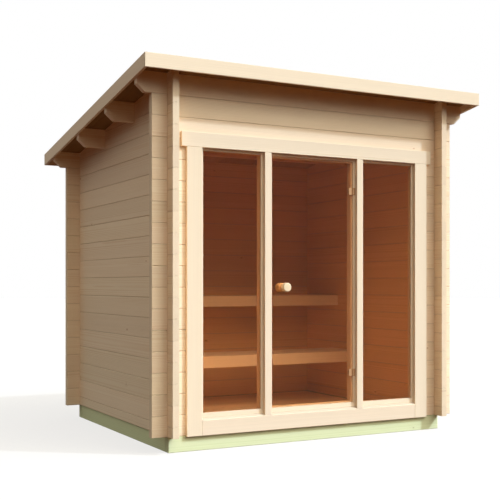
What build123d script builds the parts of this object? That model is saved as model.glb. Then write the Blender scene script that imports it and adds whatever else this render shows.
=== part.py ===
from build123d import *
import math
import os

# Outdoor sauna cabin: crossed log walls on a green timber base, a glazed front with
# a glass door, two full-width benches and a single slope roof falling to the rear.
# Frame: origin on the ground at the middle of the base, X to the right when facing
# the glazed front, Y towards the rear, Z up. All sizes are in millimetres.

# Base and floor
base_width = 2155.0
base_depth = 1825.0
base_height = 102.0
base_beam_thickness = 60.0
floor_board_thickness = 20.0
floor_board_width = 95.0
floor_groove_width = 4.0
floor_groove_depth = 4.0
floor_edge_gap = 0.3
joist_width = 45.0
joist_spacing = 500.0
joist_count = 3

# Logs: wall_height is the front wall's height above the base
wall_height = 2295.0
log_thickness = 44.0
log_edge_chamfer = 3.0
tongue_width = 10.0
tongue_height = 8.0
groove_play = 0.5
log_end_front_wall = 104.0
log_end_side_wall = 88.0
wall_overhang_side = 9.0
wall_overhang_end = 2.0
front_courses = 17
opening_courses = 14
thinnest_top_log_share = 0.25

# Fits: joint_gap separates pieces that bear on each other
joint_gap = 0.3

# Roof
roof_pitch_deg = 9.0
roof_overhang_end = 188.0
roof_overhang_side = 232.0
deck_thickness = 19.0
deck_board_width = 96.0
deck_groove_width = 4.0
deck_groove_depth = 3.0
felt_thickness = 4.0
fascia_thickness = 19.0
fascia_height = 89.0
fascia_above_deck = 20.0
purlin_spacing = 609.0
purlin_depth = 135.0
corbel_chamfer_run = 56.0
corbel_chamfer_rise = 50.0

# Glazed front frame
frame_from_side = 118.5
frame_proud = 20.0
frame_inside = 24.0
frame_lap = 36.0
jamb_width = 108.0
mullion_width = 51.0
door_opening = 686.0
frame_bottom = 96.0
rail_front_height = 99.0
sill_rise = 12.0
lintel_height = 50.0
head_height = 95.0
head_ear = 36.0
reveal_depth = 26.0
bead_width = 16.0
bead_thickness = 14.0
threshold_height = 31.0
pane_thickness = 6.0
pane_edge_gap = 3.0

# Door
door_gap = 5.0
door_glass_thickness = 8.0
door_glass_recess = 2.0
stop_width = 12.0
lining_depth = 30.0
knob_diameter = 60.0
knob_length = 56.0
knob_neck_diameter = 26.0
knob_neck_length = 12.0
knob_edge_radius = 7.0
knob_from_edge = 85.0
knob_height = 1045.0
hinge_height = 50.0
hinge_from_end = 180.0
hinge_radius = 4.5
hinge_pin_radius = 2.5
hinge_plate_thickness = 2.5
hinge_plate_width = 30.0
hinge_knuckle_gap = 0.5
hinge_knuckle_share = 0.4

# Benches
bench_board_thickness = 27.0
bench_front_height = 87.0
slat_width = 90.0
slat_gap = 10.0
upper_bench_front = 1279.0
upper_bench_top = 973.0
lower_bench_front = 930.0
lower_bench_top = 518.0
lower_bench_slats = 4
bearer_width = 45.0
bearer_height = 55.0

# Places worked out from the sizes above
base_half_x = base_width / 2
base_front = -base_depth / 2
base_rear = base_depth / 2
wall_outer_x = base_half_x + wall_overhang_side
wall_inner_x = wall_outer_x - log_thickness
front_outer = base_front - wall_overhang_end
front_inner = front_outer + log_thickness
rear_outer = base_rear + wall_overhang_end
rear_inner = rear_outer - log_thickness
side_centre_x = wall_outer_x - log_thickness / 2
front_centre_y = front_outer + log_thickness / 2
rear_centre_y = rear_outer - log_thickness / 2
log_course = wall_height / front_courses
half_course = log_course / 2
notch_depth = log_course / 4
opening_top = base_height + opening_courses * log_course
head_bottom = opening_top - lintel_height
front_top = base_height + front_courses * log_course
roof_slope = math.tan(math.radians(roof_pitch_deg))
roof_half_x = base_half_x + roof_overhang_side
roof_front = base_front - roof_overhang_end
roof_rear = base_rear + roof_overhang_end
deck_upright = deck_thickness / math.cos(math.radians(roof_pitch_deg))
corbel_tip_x = roof_half_x - fascia_thickness - joint_gap
frame_front = front_outer - joint_gap - frame_proud
frame_back = front_inner + frame_inside
frame_half = base_half_x - frame_from_side
jamb_inner = frame_half - jamb_width
log_opening_half = frame_half - frame_lap
mullion_inner = door_opening / 2
mullion_outer = mullion_inner + mullion_width
sill_front_top = frame_bottom + rail_front_height
sill_top = sill_front_top + sill_rise
bead_front = frame_front + reveal_depth
threshold_top = sill_top + threshold_height
leaf_half = mullion_inner - bead_width - door_gap
leaf_bottom = threshold_top + door_gap
leaf_top = head_bottom - bead_width - door_gap
glass_front = bead_front + door_glass_recess
glass_back = glass_front + door_glass_thickness
stop_front = glass_back + door_gap
lining_back = bead_front + lining_depth
hinge_x = leaf_half + door_gap / 2
hinge_y = bead_front - hinge_radius - hinge_plate_thickness / 2 - joint_gap


def block(x0, x1, y0, y1, z0, z1):
    """A box from its two opposite corners."""
    middle = Pos((x0 + x1) / 2, (y0 + y1) / 2, (z0 + z1) / 2)
    return middle * Box(x1 - x0, y1 - y0, z1 - z0)


def prism_along_x(points, x0, x1):
    """A prism whose (y, z) outline runs from x0 to x1."""
    plane = Plane(origin=(x0, 0, 0), x_dir=(0, 1, 0), z_dir=(1, 0, 0))
    return extrude(plane * Polygon(*points, align=None), amount=x1 - x0, dir=(1, 0, 0))


def prism_along_y(points, y0, y1):
    """A prism whose (x, z) outline runs from y0 to y1."""
    plane = Plane(origin=(0, y0, 0), x_dir=(1, 0, 0), z_dir=(0, -1, 0))
    return extrude(plane * Polygon(*points, align=None), amount=y1 - y0, dir=(0, 1, 0))


def save(name, solids):
    """Write one node's solids to its own STEP file."""
    shapes = [solid for piece in solids for solid in piece.solids()]
    export_step(Compound(children=shapes), f"parts/{name}.step")


def roof_under(y):
    """Height of the roof deck's underside at y."""
    return front_top - (y - front_outer) * roof_slope


def above_roof(x0, x1, y0, y1, drop=joint_gap):
    """Everything above the deck's underside, lowered by drop, between y0 and y1."""
    far_up = front_top + log_course * 3
    low0 = roof_under(y0) - drop
    low1 = roof_under(y1) - drop
    return prism_along_x([(y0, low0), (y1, low1), (y1, far_up), (y0, far_up)], x0, x1)


def log_outline(bottom, top, centre, tongue, groove):
    """Log section (across, up) with eased edges, a tongue on top and a groove below."""
    half = log_thickness / 2
    ease = log_edge_chamfer
    tongue_half = tongue_width / 2
    groove_half = tongue_half + groove_play
    groove_top = bottom + tongue_height + groove_play
    points = [(centre - half + ease, bottom)]
    if groove:
        points += [
            (centre - groove_half, bottom),
            (centre - groove_half, groove_top),
            (centre + groove_half, groove_top),
            (centre + groove_half, bottom),
        ]
    points += [
        (centre + half - ease, bottom),
        (centre + half, bottom + ease),
        (centre + half, top - ease),
        (centre + half - ease, top),
    ]
    if tongue:
        points += [
            (centre + tongue_half, top),
            (centre + tongue_half, top + tongue_height),
            (centre - tongue_half, top + tongue_height),
            (centre - tongue_half, top),
        ]
    points += [
        (centre - half + ease, top),
        (centre - half, top - ease),
        (centre - half, bottom + ease),
    ]
    return points


def notch_bands(bottom, top):
    """Heights that a log gives up where it crosses another, at its foot and its head."""
    foot = (bottom - tongue_height, bottom + notch_depth + joint_gap / 2)
    head = (top - notch_depth + joint_gap / 2, top + tongue_height * 2)
    return [foot, head]


def half_log_bands(bottom, top):
    """The half log on the base keeps its foot and gives up only its head."""
    return notch_bands(bottom, top)[1:]


def cross_cuts_x(bands, centres_x, y_centre):
    """Notches in a log along X, where it crosses walls whose centre lines are at centres_x."""
    reach = log_thickness / 2 + joint_gap
    width = log_thickness
    cuts = []
    for x in centres_x:
        for low, high in bands:
            cuts.append(block(x - reach, x + reach, y_centre - width, y_centre + width, low, high))
    return cuts


def cross_cuts_y(bands, centres_y, x_centre):
    """Notches in a log along Y, where it crosses walls whose centre lines are at centres_y."""
    reach = log_thickness / 2 + joint_gap
    width = log_thickness
    cuts = []
    for y in centres_y:
        for low, high in bands:
            cuts.append(block(x_centre - width, x_centre + width, y - reach, y + reach, low, high))
    return cuts


def corbel_cuts(bottom, y0, y1):
    """The slanted cuts under both outer ends of a log that carries the eaves."""
    cuts = []
    for side in (-1, 1):
        tip = side * corbel_tip_x
        outline = [
            (tip + side * joint_gap, bottom - joint_gap),
            (tip - side * corbel_chamfer_run, bottom - joint_gap),
            (tip - side * corbel_chamfer_run, bottom),
            (tip, bottom + corbel_chamfer_rise),
            (tip + side * joint_gap, bottom + corbel_chamfer_rise),
        ]
        cuts.append(prism_along_y(outline, y0, y1))
    return cuts


def cross_wall_log(x0, x1, y_centre, number, crossings, last=False):
    """One log of the front or rear wall. The last one is left high, to be planed to the roof."""
    bottom = base_height + number * log_course
    top = bottom + log_course
    (foot_low, foot_high), (head_low, head_high) = notch_bands(bottom, top)
    if last:
        top += half_course
        head_high = top + log_course
    outline = log_outline(bottom, top - joint_gap, y_centre, tongue=not last, groove=number > 0)
    log = prism_along_x(outline, x0, x1)
    return log - cross_cuts_x([(foot_low, foot_high), (head_low, head_high)], crossings, y_centre)


def side_log_range(number):
    """Foot and head of a side wall's log: number 0 is the half log on the base."""
    if number == 0:
        return base_height, base_height + half_course
    bottom = base_height + half_course + (number - 1) * log_course
    return bottom, bottom + log_course


def purlin_places():
    """Centre lines of the two purlins, counted forward from the rear wall."""
    return [rear_centre_y - purlin_spacing * count for count in (2, 1)]


def purlin_bottom(y_centre):
    """Foot of a purlin, a full log deep below the deck at its front face."""
    return roof_under(y_centre - log_thickness / 2) - purlin_depth


def make_side_wall(side):
    """Left (-1) or right (1) wall: half a course lower than the walls that it crosses."""
    x_centre = side * side_centre_x
    y0 = front_outer - log_end_side_wall
    y1 = rear_outer + log_end_side_wall
    wide = log_thickness
    plane = Plane(origin=(0, y0, 0), x_dir=(1, 0, 0), z_dir=(0, -1, 0))
    lid = above_roof(x_centre - wide, x_centre + wide, y0 - wide, y1 + wide)
    housings = []
    for y in purlin_places():
        reach = log_thickness / 2 + joint_gap
        foot = purlin_bottom(y) - joint_gap
        housings.append(block(x_centre - wide, x_centre + wide, y - reach, y + reach, foot, front_top))
    logs = []
    number = 0
    while side_log_range(number)[0] < roof_under(y0):
        bottom, top = side_log_range(number)
        outline = log_outline(bottom, top - joint_gap, x_centre, tongue=True, groove=number > 0)
        log = extrude(plane * Polygon(*outline, align=None), amount=y1 - y0, dir=(0, 1, 0))
        bands = half_log_bands(bottom, top) if number == 0 else notch_bands(bottom, top)
        log -= cross_cuts_y(bands, (front_centre_y, rear_centre_y), x_centre)
        if top + tongue_height > roof_under(y1) - joint_gap:
            log -= lid
            log -= housings
        logs += [solid for solid in log.solids() if solid.volume > log_thickness ** 3]
        number += 1
    return logs


def make_front_stubs(side):
    """Short logs between the crossed corner and the glazed front."""
    inner = side * (log_opening_half + joint_gap)
    outer = side * (wall_outer_x + log_end_front_wall)
    x0, x1 = min(inner, outer), max(inner, outer)
    crossing = (side * side_centre_x,)
    count = range(opening_courses)
    return [cross_wall_log(x0, x1, front_centre_y, number, crossing) for number in count]


def make_front_top():
    """Full logs over the glazed front: the highest one carries the eaves at both ends."""
    tip = wall_outer_x + log_end_front_wall
    crossings = (-side_centre_x, side_centre_x)
    logs = []
    for number in range(opening_courses, front_courses):
        last = number == front_courses - 1
        reach = corbel_tip_x if last else tip
        log = cross_wall_log(-reach, reach, front_centre_y, number, crossings, last=last)
        if last:
            bottom = base_height + number * log_course
            log -= corbel_cuts(bottom, front_outer - joint_gap, front_inner + joint_gap)
            log -= above_roof(-reach, reach, front_outer - log_thickness, front_inner + log_thickness)
        logs.append(log)
    return logs


def rear_full_courses():
    """Full logs of the rear wall: what is left up to the roof is its highest log."""
    courses = (roof_under(rear_outer) - base_height) / log_course
    return int(courses - thinnest_top_log_share)


def make_rear_wall():
    """Full logs, and a highest one that is planed to the roof's slope."""
    tip = wall_outer_x + log_end_front_wall
    crossings = (-side_centre_x, side_centre_x)
    full = rear_full_courses()
    logs = [cross_wall_log(-tip, tip, rear_centre_y, number, crossings) for number in range(full)]
    reach = corbel_tip_x
    top_log = cross_wall_log(-reach, reach, rear_centre_y, full, crossings, last=True)
    bottom = base_height + full * log_course
    top_log -= corbel_cuts(bottom, rear_inner - joint_gap, rear_outer + joint_gap)
    top_log -= above_roof(-reach, reach, rear_inner - log_thickness, rear_outer + log_thickness)
    logs.append(top_log)
    return logs


def make_purlin(y_centre):
    """A log on edge that runs through both side walls and carries the deck."""
    y0 = y_centre - log_thickness / 2
    y1 = y_centre + log_thickness / 2
    bottom = purlin_bottom(y_centre)
    purlin = block(-corbel_tip_x, corbel_tip_x, y0, y1, bottom, bottom + purlin_depth)
    edges = purlin.edges().filter_by(Axis.X).group_by(Axis.Z)[0]
    purlin = chamfer(edges, log_edge_chamfer)
    purlin -= corbel_cuts(bottom, y0 - joint_gap, y1 + joint_gap)
    purlin -= above_roof(-corbel_tip_x, corbel_tip_x, y0 - log_thickness, y1 + log_thickness)
    return [purlin]


def sloped_sheet(x_half, y0, y1, lift, thickness):
    """A sheet that lies on the roof's slope, lift above the deck's underside."""
    outline = [
        (y0, roof_under(y0) + lift),
        (y1, roof_under(y1) + lift),
        (y1, roof_under(y1) + lift + thickness),
        (y0, roof_under(y0) + lift + thickness),
    ]
    return prism_along_x(outline, -x_half, x_half)


def make_roof_deck():
    """Deck boards that run down the slope, with a groove at each joint underneath."""
    x_half = roof_half_x - fascia_thickness - joint_gap
    y0 = roof_front + fascia_thickness + joint_gap
    y1 = roof_rear - fascia_thickness - joint_gap
    deck = sloped_sheet(x_half, y0, y1, 0, deck_upright)
    count = int(2 * x_half // deck_board_width)
    start = -(count - 1) * deck_board_width / 2
    grooves = []
    for index in range(count):
        x = start + index * deck_board_width
        outline = [
            (y0 - joint_gap, roof_under(y0 - joint_gap) - joint_gap),
            (y1 + joint_gap, roof_under(y1 + joint_gap) - joint_gap),
            (y1 + joint_gap, roof_under(y1 + joint_gap) + deck_groove_depth),
            (y0 - joint_gap, roof_under(y0 - joint_gap) + deck_groove_depth),
        ]
        grooves.append(prism_along_x(outline, x - deck_groove_width / 2, x + deck_groove_width / 2))
    return [deck - grooves]


def make_roof_felt():
    """Roofing felt over the whole deck, inside the upstanding fascias."""
    x_half = roof_half_x - fascia_thickness - joint_gap
    y0 = roof_front + fascia_thickness + joint_gap
    y1 = roof_rear - fascia_thickness - joint_gap
    return [sloped_sheet(x_half, y0, y1, deck_upright + joint_gap, felt_thickness)]


def fascia_band(y):
    """Foot and head of the fascia boards at y."""
    top = roof_under(y) + deck_upright + fascia_above_deck
    return top - fascia_height, top


def make_cross_fascia(y_outer, y_inner):
    """The board across the front or rear edge of the roof."""
    low, high = fascia_band((y_outer + y_inner) / 2)
    y0, y1 = min(y_outer, y_inner), max(y_outer, y_inner)
    return [block(-roof_half_x, roof_half_x, y0, y1, low, high)]


def make_side_fascia(side):
    """The board that follows the slope at the left or right edge of the roof."""
    y0 = roof_front + fascia_thickness + joint_gap
    y1 = roof_rear - fascia_thickness - joint_gap
    low0, high0 = fascia_band(y0)
    low1, high1 = fascia_band(y1)
    outline = [(y0, low0), (y1, low1), (y1, high1), (y0, high0)]
    inner = side * (roof_half_x - fascia_thickness)
    outer = side * roof_half_x
    return [prism_along_x(outline, min(inner, outer), max(inner, outer))]


def make_base_beam_across(y_outer, y_inner):
    """The full-width base beam under the front or rear wall."""
    y0, y1 = min(y_outer, y_inner), max(y_outer, y_inner)
    return [block(-base_half_x, base_half_x, y0, y1, 0, base_height)]


def make_base_beam_side(side):
    """The base beam under a side wall, between the front and rear beams."""
    inner = side * (base_half_x - base_beam_thickness)
    outer = side * base_half_x
    y0 = base_front + base_beam_thickness + joint_gap
    y1 = base_rear - base_beam_thickness - joint_gap
    return [block(min(inner, outer), max(inner, outer), y0, y1, 0, base_height)]


def make_joists():
    """Joists on the ground between the front and rear beams, under the floor boards."""
    y0 = base_front + base_beam_thickness + joint_gap
    y1 = base_rear - base_beam_thickness - joint_gap
    top = base_height - floor_board_thickness - joint_gap
    joists = []
    for index in range(joist_count):
        x = (index - (joist_count - 1) / 2) * joist_spacing
        joists.append(block(x - joist_width / 2, x + joist_width / 2, y0, y1, 0, top))
    return joists


def make_floor():
    """Floor boards laid left to right, level with the top of the base beams."""
    x_half = base_half_x - base_beam_thickness - floor_edge_gap
    y0 = base_front + base_beam_thickness + floor_edge_gap
    y1 = base_rear - base_beam_thickness - floor_edge_gap
    floor = block(-x_half, x_half, y0, y1, base_height - floor_board_thickness, base_height)
    grooves = []
    y = y0 + floor_board_width
    while y < y1 - floor_groove_width:
        low = base_height - floor_groove_depth
        high = base_height + joint_gap
        grooves.append(block(-x_half, x_half, y, y + floor_groove_width, low, high))
        y += floor_board_width
    return [floor - grooves]


def make_head_board():
    """Head of the glazed front: a wide board outside, and a lintel under the logs."""
    trim_back = front_outer - joint_gap
    half = frame_half + head_ear
    board = block(-half, half, frame_front, trim_back, head_bottom, head_bottom + head_height)
    lintel_top = opening_top - joint_gap
    lintel = block(-log_opening_half, log_opening_half, trim_back, frame_back, head_bottom, lintel_top)
    return [board + lintel]


def make_jamb(side):
    """A jamb that laps the log ends outside and lines the opening to the inside."""
    trim_back = front_outer - joint_gap
    foot = base_height + joint_gap
    head = head_bottom - joint_gap
    xs = (side * jamb_inner, side * frame_half, side * log_opening_half)
    trim = block(min(xs[:2]), max(xs[:2]), frame_front, trim_back, frame_bottom, head)
    post = block(min(xs[0], xs[2]), max(xs[0], xs[2]), trim_back, frame_back, foot, head)
    return [trim + post]


def make_bottom_rail():
    """Bottom rail with a sill that sheds water, between the jambs."""
    trim_back = front_outer - joint_gap
    foot = base_height + joint_gap
    outline = [
        (frame_front, frame_bottom),
        (trim_back, frame_bottom),
        (trim_back, foot),
        (frame_back, foot),
        (frame_back, sill_top),
        (bead_front, sill_top),
        (frame_front, sill_front_top),
    ]
    half = jamb_inner - joint_gap
    return [prism_along_x(outline, -half, half)]


def make_mullion(side):
    """A post between the door and a side window, from the sill to the head."""
    outline = [
        (frame_front, sill_front_top + joint_gap),
        (bead_front, sill_top + joint_gap),
        (frame_back, sill_top + joint_gap),
        (frame_back, head_bottom - joint_gap),
        (frame_front, head_bottom - joint_gap),
    ]
    xs = (side * mullion_inner, side * mullion_outer)
    return [prism_along_x(outline, min(xs), max(xs))]


def window_range(side):
    """Clear width of a side window, from low x to high x."""
    xs = (side * mullion_outer, side * jamb_inner)
    return min(xs), max(xs)


def bead_ring(x0, x1, y0, y1, foot, foot_height):
    """Four beads round a window: a tall one at the foot, narrow ones at the sides and head."""
    head = head_bottom - joint_gap
    foot = foot + joint_gap
    side_foot = foot + foot_height + joint_gap
    side_head = head - bead_width - joint_gap
    left, right = x0 + joint_gap, x1 - joint_gap
    return [
        block(left, right, y0, y1, foot, foot + foot_height),
        block(left, right, y0, y1, head - bead_width, head),
        block(left, left + bead_width, y0, y1, side_foot, side_head),
        block(right - bead_width, right, y0, y1, side_foot, side_head),
    ]


def make_window_beads(side):
    """Glazing beads outside and inside a side window's pane."""
    x0, x1 = window_range(side)
    outer_back = bead_front + bead_thickness
    inner_front = outer_back + pane_thickness + 2 * joint_gap
    outer = bead_ring(x0, x1, bead_front, outer_back, sill_top, threshold_height)
    inner = bead_ring(x0, x1, inner_front, inner_front + bead_thickness, sill_top, threshold_height)
    return outer + inner


def make_window_pane(side):
    """A fixed pane of tinted glass between its beads."""
    x0, x1 = window_range(side)
    y0 = bead_front + bead_thickness + joint_gap
    foot = sill_top + pane_edge_gap
    head = head_bottom - pane_edge_gap
    return [block(x0 + pane_edge_gap, x1 - pane_edge_gap, y0, y0 + pane_thickness, foot, head)]


def make_door_lining():
    """Lining round the door leaf, with a stop behind the glass, and the threshold."""
    inner = mullion_inner - joint_gap
    edge = mullion_inner - bead_width
    stop = edge - stop_width
    foot = sill_top + joint_gap
    head = head_bottom - joint_gap
    side_foot = threshold_top + joint_gap
    side_head = head_bottom - bead_width - joint_gap
    pieces = [
        block(-inner, inner, bead_front, lining_back, foot, threshold_top)
        + block(-edge, edge, stop_front, lining_back, threshold_top, threshold_top + stop_width),
        block(-inner, inner, bead_front, lining_back, head_bottom - bead_width, head)
        + block(-edge, edge, stop_front, lining_back, head_bottom - bead_width - stop_width,
                head_bottom - bead_width),
    ]
    for side in (-1, 1):
        xs = (side * edge, side * inner)
        strip = block(min(xs), max(xs), bead_front, lining_back, side_foot, side_head)
        xs = (side * stop, side * edge)
        low = threshold_top + stop_width + joint_gap
        high = head_bottom - bead_width - stop_width - joint_gap
        strip += block(min(xs), max(xs), stop_front, lining_back, low, high)
        pieces.append(strip)
    return pieces


def hinge_levels():
    """Foot of each door hinge."""
    return (leaf_bottom + hinge_from_end, leaf_top - hinge_from_end - hinge_height)


def knuckle(z0, z1, radius):
    """A round knuckle or pin on the hinge line."""
    return Pos(hinge_x, hinge_y, (z0 + z1) / 2) * Cylinder(radius, z1 - z0)


def hinge_bands(foot):
    """Heights where the fixed knuckles end and the door's knuckle starts."""
    share = hinge_height * (1 - hinge_knuckle_share) / 2
    return foot + share, foot + hinge_height - share


def make_hinge_brackets():
    """Fixed half of each hinge, on the lining, with its pin."""
    plate_back = bead_front - joint_gap
    plate_front = plate_back - hinge_plate_thickness
    lining_edge = mullion_inner - bead_width
    plate_left = hinge_x + hinge_radius + hinge_knuckle_gap
    plate_right = mullion_inner - joint_gap
    brackets = []
    for foot in hinge_levels():
        head = foot + hinge_height
        low, high = hinge_bands(foot)
        body = block(plate_left, plate_right, plate_front, plate_back, foot, head)
        for z0, z1 in ((foot, low), (high, head)):
            body += block(hinge_x, plate_left, plate_front, plate_back, z0, z1)
            body += block(hinge_x, lining_edge, hinge_y, plate_back, z0, z1)
            body += knuckle(z0, z1, hinge_radius)
        body += knuckle(low - joint_gap, high + joint_gap, hinge_pin_radius)
        brackets.append(body)
    return brackets


def make_door_hinges():
    """Moving half of each hinge: a knuckle, a plate outside and a plate inside the glass."""
    plate_back = glass_front - joint_gap
    plate_front = plate_back - hinge_plate_thickness
    web_half = hinge_plate_thickness / 2
    inner_front = glass_back + joint_gap
    inner_right = leaf_half - stop_width
    pieces = []
    for foot in hinge_levels():
        low, high = hinge_bands(foot)
        low += hinge_knuckle_gap
        high -= hinge_knuckle_gap
        plate_left = leaf_half - hinge_plate_width
        body = block(plate_left, leaf_half, plate_front, plate_back, foot, foot + hinge_height)
        web_x = leaf_half - web_half
        body += block(web_x - web_half, web_x + web_half, hinge_y, plate_back, low, high)
        body += knuckle(low, high, hinge_radius)
        body -= knuckle(low - joint_gap, high + joint_gap, hinge_pin_radius + joint_gap)
        pieces.append(body)
        inner_back = inner_front + hinge_plate_thickness
        pieces.append(block(plate_left, inner_right, inner_front, inner_back, foot, foot + hinge_height))
    return pieces


def make_door_glass():
    """The frameless door leaf."""
    return [block(-leaf_half, leaf_half, glass_front, glass_back, leaf_bottom, leaf_top)]


def make_knob(outward):
    """A turned wooden knob on one face of the door: outward is -1 outside, 1 inside."""
    face = glass_front - joint_gap if outward < 0 else glass_back + joint_gap
    neck = knob_neck_diameter / 2
    head = knob_diameter / 2
    round_edge = knob_edge_radius
    outline = Polyline((0, 0), (neck, 0), (neck, knob_neck_length), (head - round_edge, knob_neck_length))
    outline += RadiusArc(
        (head - round_edge, knob_neck_length), (head, knob_neck_length + round_edge), -round_edge
    )
    outline += Line((head, knob_neck_length + round_edge), (head, knob_length - round_edge))
    outline += RadiusArc((head, knob_length - round_edge), (head - round_edge, knob_length), -round_edge)
    outline += Polyline((head - round_edge, knob_length), (0, knob_length), (0, 0))
    plane = Plane(
        origin=(-leaf_half + knob_from_edge, face, knob_height),
        x_dir=(1, 0, 0),
        z_dir=(0, 0, outward),
    )
    profile = plane * make_face(outline)
    axis = Axis((-leaf_half + knob_from_edge, face, knob_height), (0, outward, 0))
    return [revolve(profile, axis=axis)]


def make_bench_front(front, top):
    """The board on edge across the front of a bench."""
    y0 = base_front + front
    half = wall_inner_x - joint_gap
    return [block(-half, half, y0, y0 + bench_board_thickness, top - bench_front_height, top)]


def bench_slats(front, top, count):
    """Seat slats behind a bench's front board."""
    half = wall_inner_x - joint_gap
    y = base_front + front + bench_board_thickness + slat_gap
    slats = []
    for _ in range(count):
        slats.append(block(-half, half, y, y + slat_width, top - bench_board_thickness, top))
        y += slat_width + slat_gap
    return slats


def upper_slat_count():
    """As many slats as fit between the upper bench's front board and the rear wall."""
    start = base_front + upper_bench_front + bench_board_thickness
    return int((rear_inner - start) // (slat_width + slat_gap))


def make_bearers(front, top, count):
    """Bearers under the slats: one on each side wall and one in the middle."""
    y0 = base_front + front + bench_board_thickness + joint_gap
    y1 = y0 + count * (slat_width + slat_gap)
    y1 = min(y1, rear_inner - joint_gap)
    high = top - bench_board_thickness - joint_gap
    reach = wall_inner_x - joint_gap
    bearers = []
    for x0 in (-reach, -bearer_width / 2, reach - bearer_width):
        bearers.append(block(x0, x0 + bearer_width, y0, y1, high - bearer_height, high))
    return bearers


os.makedirs("parts", exist_ok=True)

save("base_beam_front", make_base_beam_across(base_front, base_front + base_beam_thickness))
save("base_beam_rear", make_base_beam_across(base_rear, base_rear - base_beam_thickness))
save("base_beam_left", make_base_beam_side(-1))
save("base_beam_right", make_base_beam_side(1))
save("floor_joists", make_joists())
save("floor_boards", make_floor())

save("left_wall", make_side_wall(-1))
save("right_wall", make_side_wall(1))
save("rear_wall", make_rear_wall())
save("front_wall_left", make_front_stubs(-1))
save("front_wall_right", make_front_stubs(1))
save("front_wall_top", make_front_top())

for purlin_name, purlin_y in zip(("purlin_front", "purlin_rear"), purlin_places()):
    save(purlin_name, make_purlin(purlin_y))
save("roof_deck", make_roof_deck())
save("roof_felt", make_roof_felt())
save("fascia_front", make_cross_fascia(roof_front, roof_front + fascia_thickness))
save("fascia_rear", make_cross_fascia(roof_rear, roof_rear - fascia_thickness))
save("fascia_left", make_side_fascia(-1))
save("fascia_right", make_side_fascia(1))

save("frame_head_board", make_head_board())
save("frame_jamb_left", make_jamb(-1))
save("frame_jamb_right", make_jamb(1))
save("frame_bottom_rail", make_bottom_rail())
save("frame_mullion_left", make_mullion(-1))
save("frame_mullion_right", make_mullion(1))
save("window_beads_left", make_window_beads(-1))
save("window_beads_right", make_window_beads(1))
save("window_pane_left", make_window_pane(-1))
save("window_pane_right", make_window_pane(1))
save("door_lining", make_door_lining())
save("hinge_brackets", make_hinge_brackets())

save("door_glass", make_door_glass())
save("door_knob_outer", make_knob(-1))
save("door_knob_inner", make_knob(1))
save("door_hinges", make_door_hinges())

save("bench_upper_front", make_bench_front(upper_bench_front, upper_bench_top))
save("bench_upper_seat", bench_slats(upper_bench_front, upper_bench_top, upper_slat_count()))
save("bench_upper_bearers", make_bearers(upper_bench_front, upper_bench_top, upper_slat_count()))
save("bench_lower_front", make_bench_front(lower_bench_front, lower_bench_top))
save("bench_lower_seat", bench_slats(lower_bench_front, lower_bench_top, lower_bench_slats))
save("bench_lower_bearers", make_bearers(lower_bench_front, lower_bench_top, lower_bench_slats))
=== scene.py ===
# %% [markdown]
# # Outdoor sauna cabin
# A small log cabin with a glazed front, dressed for a product picture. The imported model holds
# every log, board and pane at its real size, in metres: X to the right, Y to the rear, Z up.
# This lesson gives each of them its finish. Boards and logs are copied, their sharp edges are
# eased as a planer or sandpaper eases them, and small things that the model leaves out, such as
# separate roof boards, felt, nails and screws, are added.

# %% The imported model
import math
import random

import bmesh
import bpy
from mathutils import Matrix, Vector


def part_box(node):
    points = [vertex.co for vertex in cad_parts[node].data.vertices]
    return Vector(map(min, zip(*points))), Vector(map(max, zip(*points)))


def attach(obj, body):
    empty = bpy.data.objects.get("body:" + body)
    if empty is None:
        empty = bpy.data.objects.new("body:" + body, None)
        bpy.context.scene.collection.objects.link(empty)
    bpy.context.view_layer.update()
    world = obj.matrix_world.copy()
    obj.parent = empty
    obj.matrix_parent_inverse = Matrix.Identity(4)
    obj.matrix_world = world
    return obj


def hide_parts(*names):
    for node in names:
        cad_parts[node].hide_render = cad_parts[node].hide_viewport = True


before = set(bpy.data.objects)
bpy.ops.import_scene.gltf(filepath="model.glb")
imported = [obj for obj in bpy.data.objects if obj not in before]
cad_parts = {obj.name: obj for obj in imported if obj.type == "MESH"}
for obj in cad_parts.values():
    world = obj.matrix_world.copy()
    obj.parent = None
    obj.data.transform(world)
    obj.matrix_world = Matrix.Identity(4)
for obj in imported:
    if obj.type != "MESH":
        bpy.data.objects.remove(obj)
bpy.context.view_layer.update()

MM = 0.001

# %% [markdown]
# ## Camera
# The picture was taken level, at a child's eye height, with the view shifted up so that upright
# edges stay upright. A shift lens does that on a real camera, and the shift_y of Blender's camera
# does the same. The place is measured from the base's near left corner.

# %% Camera
CAMERA_HEIGHT = 1066 * MM
CAMERA_LEFT_OF_BASE = 2293 * MM
CAMERA_BEFORE_BASE = 5392 * MM
CAMERA_TURN = math.radians(28.07)
CAMERA_LENS = 66.69
CAMERA_SHIFT_UP = 0.0684
CAMERA_SEES = 200

base_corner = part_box("base_beam_front")[0]
camera = bpy.data.objects.new("camera", bpy.data.cameras.new("camera"))
bpy.context.scene.collection.objects.link(camera)
camera.location = (
    base_corner.x - CAMERA_LEFT_OF_BASE, base_corner.y - CAMERA_BEFORE_BASE, CAMERA_HEIGHT,
)
camera.rotation_euler = (math.radians(90), 0, -CAMERA_TURN)
camera.data.lens = CAMERA_LENS
camera.data.shift_y = CAMERA_SHIFT_UP
camera.data.clip_end = CAMERA_SEES
bpy.context.scene.camera = camera
bpy.context.scene.view_settings.view_transform = "Standard"
print("camera at", [round(v, 3) for v in camera.location])

# %% [markdown]
# ## Colours and nodes
# A colour on a screen is stored with a curve, and the renderer works without it. Every colour
# below is written as the screen shows it, and one function takes the curve off. One more function
# adds a shader node, sets it up and joins its sockets, so each material reads from top to bottom.

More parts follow.
